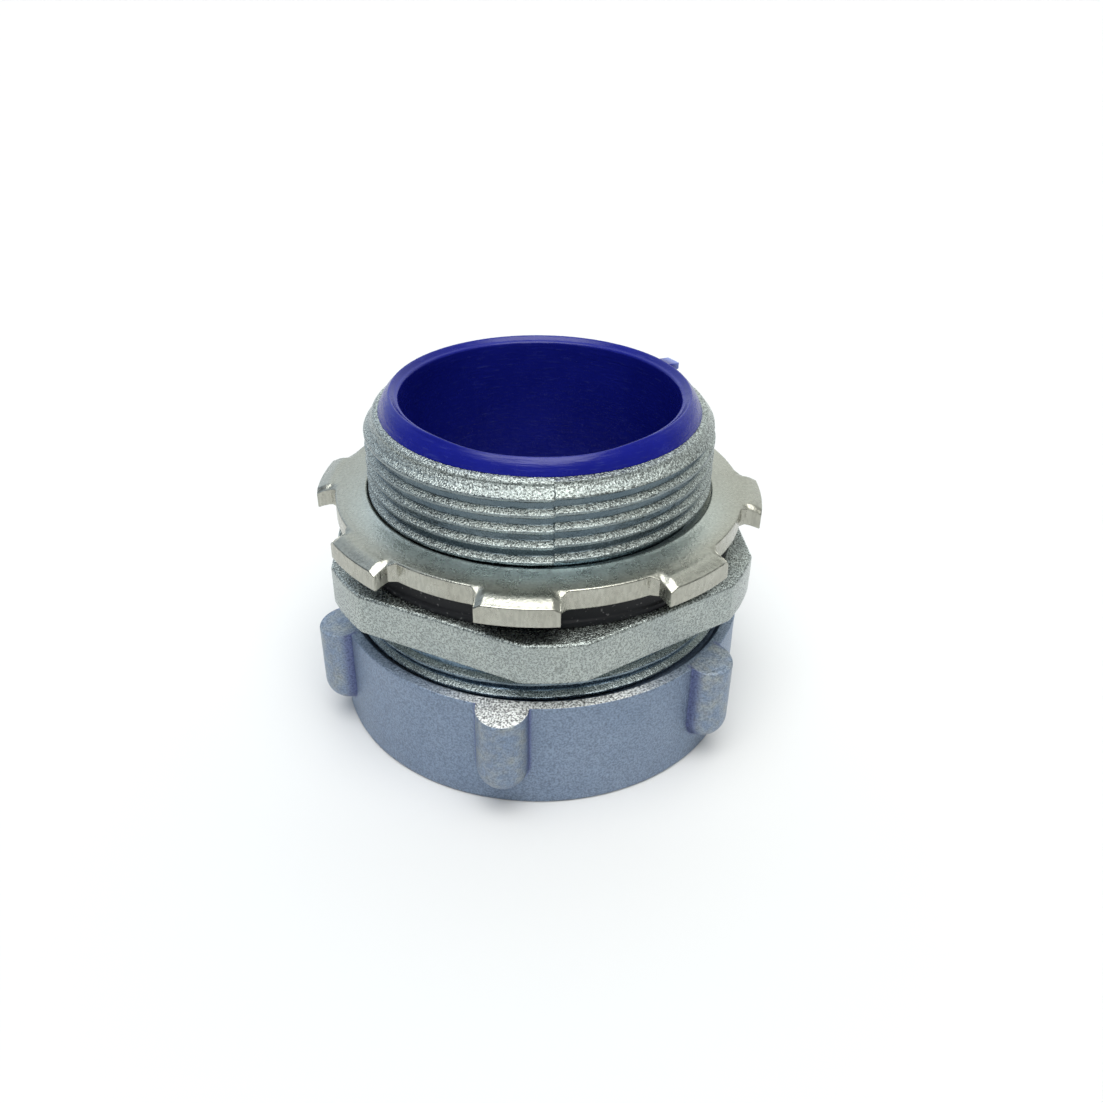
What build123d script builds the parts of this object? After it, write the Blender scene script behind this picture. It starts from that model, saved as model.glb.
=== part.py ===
from build123d import *
import math
import os

# Straight connector for 1-1/2 inch liquid-tight flexible metal conduit.
# Millimetres, +Z up. The origin is the centre of the gland nut's bottom face.

# Pipe thread on the hub and on the neck (11.5 turns per inch, right-hand)
PITCH = 25.4 / 11.5
CREST_WIDTH = 0.70
RIDGE_WIDTH = 1.75
RUN_CLEARANCE = 0.15
FLANK_CLEARANCE = 0.14
TIP_CLEARANCE = 0.2
RIDGE_SINK = 0.12

# Hub (upper male thread)
HUB_CREST_R = 24.13
HUB_ROOT_R = 23.0
HUB_TOP_Z = 45.6
HUB_CREST_FRONT_Z = 41.35
HUB_TURNS = 8.2
HUB_FADE_H = 1.5
HUB_END_CHAMFER = 0.3

# Neck (lower male thread)
NECK_CREST_R = 27.4
NECK_ROOT_R = 26.3
NECK_END_Z = 10.4
NECK_CREST_FRONT_Z = 18.5
NECK_TURNS = 6.4
NECK_FADE_H = 1.9

# Hexagonal wrench flange with turned corners
FLANGE_LOW_Z = 21.6
FLANGE_TOP_Z = 27.5
HEX_HALF_FLATS = 28.8
HEX_CORNER_R = 31.1
HEX_CORNER_DEG = -85.5
EDGE_BREAK = 0.45

# Insides of the body
LINER_OUTER_R = 20.95
LEDGE_BORE_R = 19.4
LEDGE_TOP_Z = 17.5
SHOULDER_Z = 16.0
POCKET_R = 24.4
MOUTH_R = 25.5
MOUTH_DEPTH = 1.8

# Throat liner
THROAT_R = 19.2
LIP_OUTER_R = 22.05
HUB_FACE_R = LIP_OUTER_R + 0.25
LIP_CREST_R = 20.36
LIP_CREST_Z = 47.99
LIP_INNER_Z = 46.86
GATE_DEG = 34.5
GATE_SIZE = (2.4, 3.0, 1.3)

# Gland nut
NUT_R = 29.7
NUT_TOP_Z = 16.6
NUT_MOUTH_R = 28.15
NUT_BORE_R = NECK_CREST_R + RUN_CLEARANCE
ENTRY_R = 24.9
NUT_FLOOR_Z = 3.0
SEAT_LOW_R = 25.3
SEAT_TOP_Z = 6.6
NUT_THREAD_LOW_Z = 7.7
NUT_THREAD_TOP_Z = 15.6
NUT_TURNS = 5.6
NUT_EDGE = 0.4
NUT_LEAD_H = 0.8
RIB_COUNT = 6
RIB_DEG = -98.0
RIB_R = 3.5
RIB_TOP_Z = 16.3
RIB_LOW_Z = 3.6

# Compression ring
RING_BORE_R = 24.3
RING_R = 26.9
RING_LOW_Z = 3.3
RING_TOP_Z = 8.0

# Grounding ferrule
FERRULE_BORE_R = 18.8
FERRULE_SLEEVE_R = 19.8
FERRULE_THREAD_R = 20.5
FERRULE_FLANGE_R = 24.2
FERRULE_LOW_Z = 6.0
FERRULE_FLANGE_Z = 14.8
FERRULE_PITCH = 3.2
FERRULE_EDGE = 0.5

# Sealing gasket
GASKET_BORE_R = 24.35
GASKET_R = 27.45
GASKET_FOOT_R = 27.75
GASKET_GAP = 0.02
GASKET_TOP_Z = 31.0
GASKET_FOOT_H = 0.9

# Locknut
PLATE_R = 28.75
PLATE_LOW_Z = 31.02
PLATE_RIM_Z = 33.8
PLATE_TOP_Z = 34.3
PLATE_CROWN_R = 25.6
LOCKNUT_BORE_R = HUB_CREST_R + RUN_CLEARANCE
LUG_COUNT = 8
LUG_DEG = -93.9
LUG_HALF_DEG = 9.8
LUG_R = 31.5
LUG_LOW_Z = 30.42
LUG_TOP_Z = 33.25
LOCKNUT_TURNS = 3.2

OVER = 1.0


def turned(points):
    """A closed outline of (radius, height) points, turned about the Z axis."""
    outline = make_face(Polyline(*points, close=True))
    return revolve(Plane.XZ * outline, Axis.Z)


def helical_ridge(base_r, tip_r, base_width, tip_width, pitch, start_z, turns):
    """A trapezoidal ridge wound right-handed from the +X side at start_z."""
    height = pitch * turns

    def strand(radius, offset):
        return Edge.make_helix(pitch, height, radius, center=(0, 0, start_z + offset))

    corners = [
        strand(base_r, -base_width / 2),
        strand(tip_r, -tip_width / 2),
        strand(tip_r, tip_width / 2),
        strand(base_r, base_width / 2),
    ]
    sides = [Face.make_surface_from_curves(corners[i], corners[(i + 1) % 4]) for i in range(4)]
    caps = []
    for end in (0, 1):
        ring = [corner @ end for corner in corners]
        caps.append(Face(Wire.make_polygon(ring, close=True)))
    return Solid(Shell(sides + caps))


def start_height(crest_front_z, above):
    """Height where a ridge starts at +X, so that it passes crest_front_z at -Y."""
    turns_down = math.floor((crest_front_z - above) / PITCH - 0.75)
    return crest_front_z - (0.75 + turns_down) * PITCH


def male_ridge(root_r, crest_r, crest_front_z, low_z, turns):
    slope = (RIDGE_WIDTH - CREST_WIDTH) / (crest_r - root_r)
    return helical_ridge(
        root_r - RIDGE_SINK,
        crest_r,
        RIDGE_WIDTH + RIDGE_SINK * slope,
        CREST_WIDTH,
        PITCH,
        start_height(crest_front_z, low_z),
        turns,
    )


def female_ridge(root_r, crest_r, crest_front_z, low_z, turns):
    """The nut's ridge, centred in the groove between two turns of the male ridge."""
    slope = (RIDGE_WIDTH - CREST_WIDTH) / (crest_r - root_r)
    tip_r = root_r + TIP_CLEARANCE
    base_r = crest_r + RUN_CLEARANCE + RIDGE_SINK
    tip_width = PITCH - RIDGE_WIDTH + (tip_r - root_r) * slope - 2 * FLANK_CLEARANCE
    base_width = tip_width + (base_r - tip_r) * slope
    start_z = start_height(crest_front_z - PITCH / 2, low_z)
    return helical_ridge(base_r, tip_r, base_width, tip_width, PITCH, start_z, turns)


def tube(outer_r, inner_r, low_z, top_z):
    return turned([(inner_r, low_z), (outer_r, low_z), (outer_r, top_z), (inner_r, top_z)])


def hex_flange():
    """Hexagon across flats, cut round at its corners, with its edges broken."""
    height = FLANGE_TOP_Z - FLANGE_LOW_Z
    corner_r = HEX_HALF_FLATS / math.cos(math.radians(30))
    hexagon = RegularPolygon(corner_r, 6, rotation=HEX_CORNER_DEG)
    block = Pos(0, 0, FLANGE_LOW_Z) * extrude(hexagon, height)
    rounding = turned(
        [
            (0, FLANGE_LOW_Z),
            (HEX_CORNER_R - EDGE_BREAK, FLANGE_LOW_Z),
            (HEX_CORNER_R, FLANGE_LOW_Z + EDGE_BREAK),
            (HEX_CORNER_R, FLANGE_TOP_Z - EDGE_BREAK),
            (HEX_CORNER_R - EDGE_BREAK, FLANGE_TOP_Z),
            (0, FLANGE_TOP_Z),
        ]
    )
    return block & rounding


def hub_core():
    """The threaded hub without its thread: a root cylinder with a chamfered end."""
    return turned(
        [
            (0, FLANGE_LOW_Z),
            (HUB_ROOT_R, FLANGE_LOW_Z),
            (HUB_ROOT_R, HUB_TOP_Z - HUB_END_CHAMFER),
            (HUB_FACE_R, HUB_TOP_Z),
            (0, HUB_TOP_Z),
        ]
    )


def hub_thread():
    ridge = male_ridge(HUB_ROOT_R, HUB_CREST_R, HUB_CREST_FRONT_Z, FLANGE_TOP_Z, HUB_TURNS)
    envelope = turned(
        [
            (HUB_ROOT_R - OVER, FLANGE_TOP_Z - OVER),
            (HUB_CREST_R + OVER, FLANGE_TOP_Z - OVER),
            (HUB_CREST_R + OVER, HUB_TOP_Z - HUB_FADE_H),
            (HUB_FACE_R, HUB_TOP_Z),
            (HUB_ROOT_R - OVER, HUB_TOP_Z),
        ]
    )
    return ridge & envelope


def neck_thread():
    ridge = male_ridge(NECK_ROOT_R, NECK_CREST_R, NECK_CREST_FRONT_Z, NECK_END_Z - PITCH, NECK_TURNS)
    envelope = turned(
        [
            (NECK_ROOT_R - OVER, NECK_END_Z),
            (NECK_ROOT_R, NECK_END_Z),
            (NECK_CREST_R + OVER, NECK_END_Z + NECK_FADE_H),
            (NECK_CREST_R + OVER, FLANGE_LOW_Z + OVER),
            (NECK_ROOT_R - OVER, FLANGE_LOW_Z + OVER),
        ]
    )
    return ridge & envelope


def body_hollow():
    """Conduit pocket, ledge and liner bore, cut from end to end."""
    return turned(
        [
            (0, NECK_END_Z - OVER),
            (MOUTH_R, NECK_END_Z - OVER),
            (MOUTH_R, NECK_END_Z),
            (POCKET_R, NECK_END_Z + MOUTH_DEPTH),
            (POCKET_R, SHOULDER_Z),
            (LEDGE_BORE_R, SHOULDER_Z),
            (LEDGE_BORE_R, LEDGE_TOP_Z),
            (LINER_OUTER_R, LEDGE_TOP_Z),
            (LINER_OUTER_R, HUB_TOP_Z + OVER),
            (0, HUB_TOP_Z + OVER),
        ]
    )


def connector_body():
    neck = Pos(0, 0, NECK_END_Z) * extrude(Circle(NECK_ROOT_R), FLANGE_LOW_Z - NECK_END_Z)
    blank = neck + hex_flange() + hub_core() + hub_thread() + neck_thread()
    return blank - body_hollow()


def throat_liner():
    """Nylon sleeve with a rolled lip over the hub's end and a moulding gate stub."""
    section = Polyline(
        (LIP_OUTER_R, HUB_TOP_Z),
        (LINER_OUTER_R, HUB_TOP_Z),
        (LINER_OUTER_R, LEDGE_TOP_Z),
        (THROAT_R, LEDGE_TOP_Z),
        (THROAT_R, LIP_INNER_Z),
    )
    lip = ThreePointArc(
        (THROAT_R, LIP_INNER_Z),
        (THROAT_R + 0.34, LIP_INNER_Z + 0.8),
        (LIP_CREST_R, LIP_CREST_Z),
    )
    brow = ThreePointArc(
        (LIP_CREST_R, LIP_CREST_Z),
        (LIP_CREST_R + 1.13, LIP_CREST_Z - 0.78),
        (LIP_OUTER_R, HUB_TOP_Z),
    )
    sleeve = revolve(Plane.XZ * make_face([section, lip, brow]), Axis.Z)
    length, width, height = GATE_SIZE
    stub = Pos(LIP_OUTER_R - 0.6 + length / 2, 0, LIP_INNER_Z - 0.35) * Box(length, width, height)
    keep = tube(LIP_OUTER_R + length, THROAT_R + 1.2, HUB_TOP_Z + 0.1, LIP_CREST_Z)
    return sleeve + (Rot(0, 0, GATE_DEG) * stub & keep)


def gland_nut():
    """Ribbed cup nut: entry bore, conical seat for the ring, then the thread."""
    shell = turned(
        [
            (0, 0),
            (NUT_R - NUT_EDGE, 0),
            (NUT_R, NUT_EDGE),
            (NUT_R, NUT_TOP_Z - NUT_EDGE),
            (NUT_R - NUT_EDGE, NUT_TOP_Z),
            (0, NUT_TOP_Z),
        ]
    )
    foot_z = RIB_LOW_Z + RIB_R
    rib = Pos(NUT_R, 0, foot_z) * extrude(Circle(RIB_R), RIB_TOP_Z - foot_z)
    rib += Pos(NUT_R, 0, foot_z) * Sphere(RIB_R)
    for index in range(RIB_COUNT):
        shell += Rot(0, 0, RIB_DEG + index * 360 / RIB_COUNT) * rib
    cavity = turned(
        [
            (0, -OVER),
            (ENTRY_R, -OVER),
            (ENTRY_R, NUT_FLOOR_Z),
            (SEAT_LOW_R, NUT_FLOOR_Z),
            (NUT_BORE_R, SEAT_TOP_Z),
            (NUT_BORE_R, NUT_TOP_Z - NUT_LEAD_H),
            (NUT_MOUTH_R, NUT_TOP_Z),
            (NUT_MOUTH_R, NUT_TOP_Z + OVER),
            (0, NUT_TOP_Z + OVER),
        ]
    )
    ridge = female_ridge(NECK_ROOT_R, NECK_CREST_R, NECK_CREST_FRONT_Z, SEAT_TOP_Z - PITCH, NUT_TURNS)
    trim = tube(NUT_BORE_R + OVER, NECK_ROOT_R - OVER, NUT_THREAD_LOW_Z, NUT_THREAD_TOP_Z)
    return (shell - cavity) + (ridge & trim)


def compression_ring():
    return turned(
        [
            (RING_BORE_R, RING_LOW_Z),
            (SEAT_LOW_R - 0.15, RING_LOW_Z),
            (RING_R, RING_TOP_Z - 2.0),
            (RING_R, RING_TOP_Z - 1.2),
            (RING_BORE_R + 0.7, RING_TOP_Z),
            (RING_BORE_R, RING_TOP_Z),
        ]
    )


def grounding_ferrule():
    """Steel sleeve that screws into the conduit, with a flange on the shoulder."""
    sleeve = turned(
        [
            (FERRULE_BORE_R, FERRULE_LOW_Z),
            (FERRULE_SLEEVE_R - FERRULE_EDGE, FERRULE_LOW_Z),
            (FERRULE_SLEEVE_R, FERRULE_LOW_Z + FERRULE_EDGE),
            (FERRULE_SLEEVE_R, FERRULE_FLANGE_Z),
            (FERRULE_FLANGE_R, FERRULE_FLANGE_Z),
            (FERRULE_FLANGE_R, SHOULDER_Z),
            (FERRULE_BORE_R + FERRULE_EDGE, SHOULDER_Z),
            (FERRULE_BORE_R, SHOULDER_Z - FERRULE_EDGE),
        ]
    )
    start_z = FERRULE_LOW_Z + 1.6
    turns = (FERRULE_FLANGE_Z - 1.2 - start_z) / FERRULE_PITCH
    bite = helical_ridge(
        FERRULE_SLEEVE_R - 0.1, FERRULE_THREAD_R, 1.3, 0.3, FERRULE_PITCH, start_z, turns
    )
    return sleeve + bite


def sealing_gasket():
    low_z = FLANGE_TOP_Z + GASKET_GAP
    return turned(
        [
            (GASKET_BORE_R, low_z),
            (GASKET_FOOT_R, low_z),
            (GASKET_FOOT_R, low_z + GASKET_FOOT_H),
            (GASKET_R, low_z + GASKET_FOOT_H + 0.2),
            (GASKET_R, GASKET_TOP_Z),
            (GASKET_BORE_R, GASKET_TOP_Z),
        ]
    )


def locknut():
    """Stamped steel ring nut, crowned at its hole, with lugs bent down at the rim."""
    plate = turned(
        [
            (LOCKNUT_BORE_R, PLATE_LOW_Z),
            (PLATE_R, PLATE_LOW_Z),
            (PLATE_R, PLATE_RIM_Z),
            (PLATE_CROWN_R + 1.2, PLATE_RIM_Z + 0.15),
            (PLATE_CROWN_R, PLATE_TOP_Z),
            (LOCKNUT_BORE_R, PLATE_TOP_Z),
        ]
    )
    lug_ring = turned(
        [
            (PLATE_R - 0.7, PLATE_LOW_Z),
            (PLATE_R + 0.2, LUG_LOW_Z),
            (LUG_R, LUG_LOW_Z),
            (LUG_R, LUG_TOP_Z),
            (PLATE_R + 0.9, LUG_TOP_Z + 0.05),
            (PLATE_R - 0.7, PLATE_RIM_Z),
        ]
    )
    reach = LUG_R + 2 * OVER
    half = math.radians(LUG_HALF_DEG)
    wedge_face = make_face(
        Polyline(
            (0, 0),
            (reach * math.cos(half), -reach * math.sin(half)),
            (reach * math.cos(half), reach * math.sin(half)),
            close=True,
        )
    )
    wedge = Pos(0, 0, LUG_LOW_Z - OVER) * extrude(wedge_face, PLATE_TOP_Z - LUG_LOW_Z + 2 * OVER)
    lug = lug_ring & wedge
    for index in range(LUG_COUNT):
        plate += Rot(0, 0, LUG_DEG + index * 360 / LUG_COUNT) * lug
    ridge = female_ridge(HUB_ROOT_R, HUB_CREST_R, HUB_CREST_FRONT_Z, PLATE_LOW_Z - PITCH, LOCKNUT_TURNS)
    trim = tube(LOCKNUT_BORE_R + OVER, HUB_ROOT_R - OVER, PLATE_LOW_Z + 0.15, PLATE_TOP_Z - 0.25)
    return plate + (ridge & trim)


PARTS = {
    "connector_body": connector_body,
    "throat_liner": throat_liner,
    "gland_nut": gland_nut,
    "compression_ring": compression_ring,
    "grounding_ferrule": grounding_ferrule,
    "sealing_gasket": sealing_gasket,
    "locknut": locknut,
}

os.makedirs("parts", exist_ok=True)
for name, make in PARTS.items():
    export_step(make(), "parts/" + name + ".step")
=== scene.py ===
import math

import bpy
import numpy as np
from mathutils import Matrix, Vector


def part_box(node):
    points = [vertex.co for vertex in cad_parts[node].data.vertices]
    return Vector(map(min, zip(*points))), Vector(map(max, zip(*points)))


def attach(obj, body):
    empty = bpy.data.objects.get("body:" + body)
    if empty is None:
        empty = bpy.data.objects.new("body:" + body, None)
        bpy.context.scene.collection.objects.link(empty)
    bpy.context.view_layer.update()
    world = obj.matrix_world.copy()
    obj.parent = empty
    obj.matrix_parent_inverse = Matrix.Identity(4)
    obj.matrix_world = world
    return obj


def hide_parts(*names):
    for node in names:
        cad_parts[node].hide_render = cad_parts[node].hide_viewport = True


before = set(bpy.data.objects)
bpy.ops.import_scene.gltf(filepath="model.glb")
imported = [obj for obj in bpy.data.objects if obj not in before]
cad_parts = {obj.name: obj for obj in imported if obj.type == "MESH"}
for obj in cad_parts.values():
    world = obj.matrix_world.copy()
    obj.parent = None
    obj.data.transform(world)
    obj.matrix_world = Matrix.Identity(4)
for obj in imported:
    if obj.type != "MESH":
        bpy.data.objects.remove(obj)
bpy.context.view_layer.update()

# Lengths are millimetres in the shape functions and metres in Blender's own data.
# Azimuths are degrees about +Z: 0 is the front (-Y), positive towards +X.
MM = 0.001


def node_span(node):
    """Lowest and highest Z of a CAD node, in millimetres."""
    low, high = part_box(node)
    return low.z / MM, high.z / MM


NECK_LOW_Z, HUB_TOP_Z = node_span("connector_body")
NUT_LOW_Z, NUT_TOP_Z = node_span("gland_nut")
LOCKNUT_LOW_Z, LOCKNUT_TOP_Z = node_span("locknut")
GASKET_LOW_Z, GASKET_TOP_Z = node_span("sealing_gasket")
LINER_LOW_Z, LINER_TOP_Z = node_span("throat_liner")

# Pipe thread, 11.5 turns per inch
PITCH = 25.4 / 11.5
HUB_CREST_R = 24.13
HUB_ROOT_R = 23.25
HUB_CREST_FRONT_Z = 41.35
NECK_CREST_R = 27.4
NECK_ROOT_R = 26.5
NECK_CREST_FRONT_Z = 18.5
NECK_START_R = NECK_ROOT_R - 0.35
NECK_START_SLOPE = 0.8
CREST_HALF = 0.16
FLANK_RUN = 0.55
FIT_GAP = 0.15
RIDGE_TIP_HALF = 0.12
RIDGE_FOOT_HALF = 0.72

# The hub's end and the line where its two die halves meet
HUB_END_R = HUB_ROOT_R - 0.8
CHAMFER_SLOPE = 0.8
PARTING_AZ = 5.1
PARTING_STEP = 0.26
PARTING_END_AZ = 176.0
SEAM_DEPTH = 0.03

# Along the hub's helix, in degrees: where the last groove turns shallow and where it runs out
SHALLOW_FROM, SHALLOW_BY = 150.0, 340.0
RUNOUT_FROM, RUNOUT_BY = 370.0, 430.0

# Hexagonal flange
HEX_SIDES = 6
FLANGE_LOW_Z = NECK_LOW_Z + 11.2
FLANGE_TOP_Z = GASKET_LOW_Z - 0.02
HEX_HALF_FLATS = 28.8
HEX_CORNER_R = 31.1
HEX_CORNER_AZ = 4.5
FLANGE_LOW_EDGE = 0.3
FLANGE_TOP_EDGE = 0.45

# Casting pits: azimuth, height, half width in degrees, half height
HUB_PIT = (11.0, 43.75, 0.6, 0.22)
FLANGE_PIT = (6.3, 25.3, 0.8, 0.35)
PIT_DEPTH = 0.2

# Inside of the body
NECK_END_R = 25.95
MOUTH_R = 25.5
MOUTH_DEPTH = 1.8
POCKET_R = 24.4
SHOULDER_Z = 16.0
LEDGE_R = 19.4
LEDGE_TOP_Z = 17.5

# Gland nut
NUT_R = 29.7
NUT_MOUTH_R = 28.15
NUT_BORE_R = NECK_CREST_R + FIT_GAP
NUT_ENTRY_R = 24.9
NUT_FLOOR_Z = 3.0
NUT_SEAT_R = 25.3
NUT_SEAT_TOP_Z = 6.6
NUT_THREAD_LOW_Z = 7.6
NUT_EDGE = 0.5
RIB_COUNT = 6
RIB_AZ = -8.0
RIB_R = 3.5
RIB_TOP_Z = 16.2
RIB_FOOT_Z = 7.1
RIB_EDGE = 0.18
# Where the painted highlight on the nut's top is centred, and its half width, in degrees
HIGHLIGHT_AZ = 6.0
HIGHLIGHT_HALF_AZ = 28.0

# Locknut
PLATE_R = 28.75
PLATE_LOW_Z = LOCKNUT_LOW_Z + 0.6
PLATE_RIM_Z = 33.8
PLATE_INNER_R = 24.5
LUG_COUNT = 8
LUG_AZ = -3.9
LUG_HALF_AZ = 9.8
LUG_R = 31.5
LUG_TOP_Z = 33.05
LUG_ROOT_R = 27.8
LUG_BEND_TOP_R = 29.5
LUG_BEND_LOW_R = 28.9
LUG_CORNER_DROP = 0.55

# Sealing gasket
GASKET_BORE_R = 24.35
GASKET_R = 27.42
GASKET_FOOT_R = 27.75

# Throat liner
THROAT_R = 19.2
LINER_R = 20.95
LIP_OUTER_R = 22.05
LIP_CREST_R = 20.36
LIP_INNER_Z = 46.86
LIP_EDGE = 0.24
MOUTH_EDGE = 0.4
PRESSED_DEPTH = 0.38
PRESSED_HALF_AZ = 31.0
GATE_AZ = 124.5
GATE_R = 23.6
GATE_LOW_Z = 45.75
GATE_TOP_Z = 47.2
GATE_HALF = 1.5

# Height between mesh rows, and how far each cast or moulded face waves in and out
NECK_ROW = 0.09
HUB_ROW = 0.085
NUT_ROW = 0.16
FEMALE_ROW = 0.13
FLANGE_WAVE = 0.035
HUB_WAVE = 0.02
NUT_WAVE = 0.03
GASKET_WAVE = 0.03
LIP_WAVE = 0.02


# ---------------------------------------------------------------- shape helpers


def smoothstep(low, high, x):
    t = np.clip((x - low) / (high - low), 0.0, 1.0)
    return t * t * (3.0 - 2.0 * t)


def smooth_max(a, b, blend):
    """The larger of a and b, with a fillet about as wide as blend between them."""
    h = np.clip(0.5 + 0.5 * (a - b) / blend, 0.0, 1.0)
    return b + (a - b) * h + blend * h * (1.0 - h)


def wrapped(azimuth):
    """Azimuth brought into -180..180."""
    return (azimuth + 180.0) % 360.0 - 180.0


def off_nearest(azimuth, first, count):
    """Angle from the nearest of count places spaced evenly round, one of them at first."""
    step = 360.0 / count
    return (azimuth - first + step / 2) % step - step / 2


def spaced_round(first, count):
    """Azimuths of count places spaced evenly round, one of them at first."""
    return [first + 360.0 / count * k for k in range(-(count // 2), count - count // 2)]


def ripple(azimuth, height, seed, wave=6.0, waves=9):
    """A seeded sum of soft waves over a turned surface, about -1 to 1."""
    rng = np.random.default_rng(seed)
    total = 0.0
    for _ in range(waves):
        around = rng.integers(2, 16)
        along = rng.uniform(-1.0, 1.0) * 2 * math.pi / wave
        shift = rng.uniform(0, 2 * math.pi)
        total = total + np.sin(np.radians(azimuth) * around + height * along + shift)
    return total / math.sqrt(waves) * 0.6


def columns(step, features=()):
    """Sorted azimuths every step degrees, with closer ones in each (start, stop, step) feature."""
    found = set(np.round(np.arange(-180.0, 180.0, step), 3))
    for start, stop, fine in features:
        found |= {round(float(wrapped(a)), 3) for a in np.arange(start, stop + fine / 2, fine)}
    ordered = sorted(found)
    kept = [ordered[0]]
    for azimuth in ordered[1:]:
        if azimuth - kept[-1] > 0.03:
            kept.append(azimuth)
    return np.array(kept)


class Rows:
    """Rings of points stacked along a closed section, one radius and height per column."""

    def __init__(self, azimuths):
        self.az = azimuths
        self.r = []
        self.z = []

    def add(self, r, z):
        self.r.append(np.broadcast_to(np.asarray(r, float), self.az.shape))
        self.z.append(np.broadcast_to(np.asarray(z, float), self.az.shape))

    def bridge(self, r, z, steps):
        """Straight rows from the last one to (r, z), both ends included but the first."""
        r0, z0 = self.r[-1], self.z[-1]
        for index in range(1, steps + 1):
            t = index / steps
            self.add(r0 + (np.asarray(r) - r0) * t, z0 + (np.asarray(z) - z0) * t)

    def corner(self, centre_r, centre_z, radius, start, stop, steps=3):
        """An arc of rows; angles in degrees, 0 outward and 90 up."""
        for angle in np.radians(np.linspace(start, stop, steps + 1)):
            self.add(centre_r + radius * np.cos(angle), centre_z + radius * np.sin(angle))

    def mesh(self, name):
        """The closed ring mesh: outer rows run upward, so its faces look outward."""
        r = np.array(self.r)
        z = np.array(self.z)
        a = np.radians(self.az)
        points = np.stack([r * np.sin(a), -r * np.cos(a), z], -1) * MM
        rows, cols = r.shape
        index = np.arange(rows * cols).reshape(rows, cols)
        right = np.roll(index, -1, 1)
        above = np.roll(index, -1, 0)
        corner = np.roll(above, -1, 1)
        faces = np.stack([index, right, corner, above], -1).reshape(-1, 4)
        mesh = bpy.data.meshes.new(name)
        mesh.from_pydata(points.reshape(-1, 3).tolist(), [], faces.tolist())
        mesh.shade_smooth()
        mesh.set_sharp_from_angle(angle=math.radians(38))
        piece = bpy.data.objects.new(name, mesh)
        bpy.context.scene.collection.objects.link(piece)
        return piece


def mount(piece, body, node, material):
    """Rides the piece on its body in place of its CAD node."""
    piece.data.materials.append(material)
    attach(piece, body)
    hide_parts(node)
    return piece


def paint_marks(piece, name, values):
    """Stores one number per point, for the material to read."""
    layer = piece.data.attributes.new(name, "FLOAT", "POINT")
    layer.data.foreach_set("value", np.asarray(values, np.float32).ravel())


# ---------------------------------------------------------------- threads


def thread_turn(azimuth, height, crest_front_z):
    """Turns up from the crest that passes the front at crest_front_z, whole on every crest."""
    return (height - crest_front_z - PITCH * azimuth / 360.0) / PITCH


def thread_depth(azimuth, height, crest_front_z, full_depth):
    """Depth under the crest of a soft-cornered right-hand thread."""
    turn = thread_turn(azimuth, height, crest_front_z)
    offset = np.abs(turn - np.round(turn)) * PITCH
    slope = np.clip((offset - CREST_HALF) / FLANK_RUN, 0.0, 1.0)
    return full_depth * (0.85 * slope + 0.15 * slope * slope * (3.0 - 2.0 * slope))


def groove_angle(azimuth, height, crest_front_z):
    """How far along the helix the groove at this place is, in degrees from the front."""
    return 360.0 * np.floor(thread_turn(azimuth, height, crest_front_z)) + azimuth


def die_step(azimuth):
    """Height by which one half of the casting die sits above the other, past its parting line."""
    past_line = smoothstep(PARTING_AZ - 0.4, PARTING_AZ + 0.6, azimuth)
    back_down = smoothstep(PARTING_END_AZ - 26.0, PARTING_END_AZ, azimuth)
    return PARTING_STEP * past_line * (1.0 - back_down)


def parting_seam(azimuth):
    """A fine notch along the parting line."""
    return SEAM_DEPTH * np.exp(-(((azimuth - PARTING_AZ) / 0.22) ** 2))


def dent(azimuth, height, pit):
    """Depth of one of the soft-edged casting pits."""
    at_azimuth, at_height, half_degrees, half_height = pit
    across = (azimuth - at_azimuth) / half_degrees
    along = (height - at_height) / half_height
    return PIT_DEPTH * np.exp(-(across**2) - along**2)


def hub_radius(azimuth, height):
    """Hub thread: its last groove turns shallow and runs out on the chamfered end."""
    height = height - die_step(azimuth)
    depth = thread_depth(azimuth, height, HUB_CREST_FRONT_Z, HUB_CREST_R - HUB_ROOT_R)
    along = groove_angle(azimuth, height, HUB_CREST_FRONT_Z)
    shallow = 0.55 * smoothstep(SHALLOW_FROM, SHALLOW_BY, along)
    share = 1.0 - shallow - 0.45 * smoothstep(RUNOUT_FROM, RUNOUT_BY, along)
    share = share * (1.0 - smoothstep(HUB_TOP_Z - 0.85, HUB_TOP_Z - 0.4, height))
    chamfer = LIP_OUTER_R + 0.5 + CHAMFER_SLOPE * (HUB_TOP_Z - height)
    blank = -smooth_max(-chamfer, -np.full_like(chamfer, HUB_CREST_R), 0.12)
    cut = np.maximum(blank - depth * share, HUB_END_R)
    return cut - parting_seam(azimuth) - dent(azimuth, height, HUB_PIT)


def neck_radius(azimuth, height):
    """Neck thread, its start turned down to a cone."""
    depth = thread_depth(azimuth, height, NECK_CREST_FRONT_Z, NECK_CREST_R - NECK_ROOT_R)
    cone = NECK_START_R + (height - NECK_LOW_Z) * NECK_START_SLOPE
    return np.minimum(NECK_CREST_R - depth, cone)


def female_radius(azimuth, height, crest_front_z, root_r, crest_r):
    """A nut's thread: its ridges stand in the grooves of the male one."""
    turn = thread_turn(azimuth, height, crest_front_z)
    offset = np.abs(turn - np.floor(turn) - 0.5) * PITCH
    stand = (crest_r - root_r - 0.05) * (1.0 - smoothstep(RIDGE_TIP_HALF, RIDGE_FOOT_HALF, offset))
    return crest_r + FIT_GAP - stand


# ---------------------------------------------------------------- connector body


def hex_radius(azimuth):
    """Flange outline: flats, with the corners turned off to a circle."""
    to_flat = 180.0 / HEX_SIDES - np.abs(off_nearest(azimuth, HEX_CORNER_AZ, HEX_SIDES))
    flat = HEX_HALF_FLATS / np.cos(np.radians(to_flat))
    return -smooth_max(-flat, -np.full_like(flat, HEX_CORNER_R), 0.10)


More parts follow.
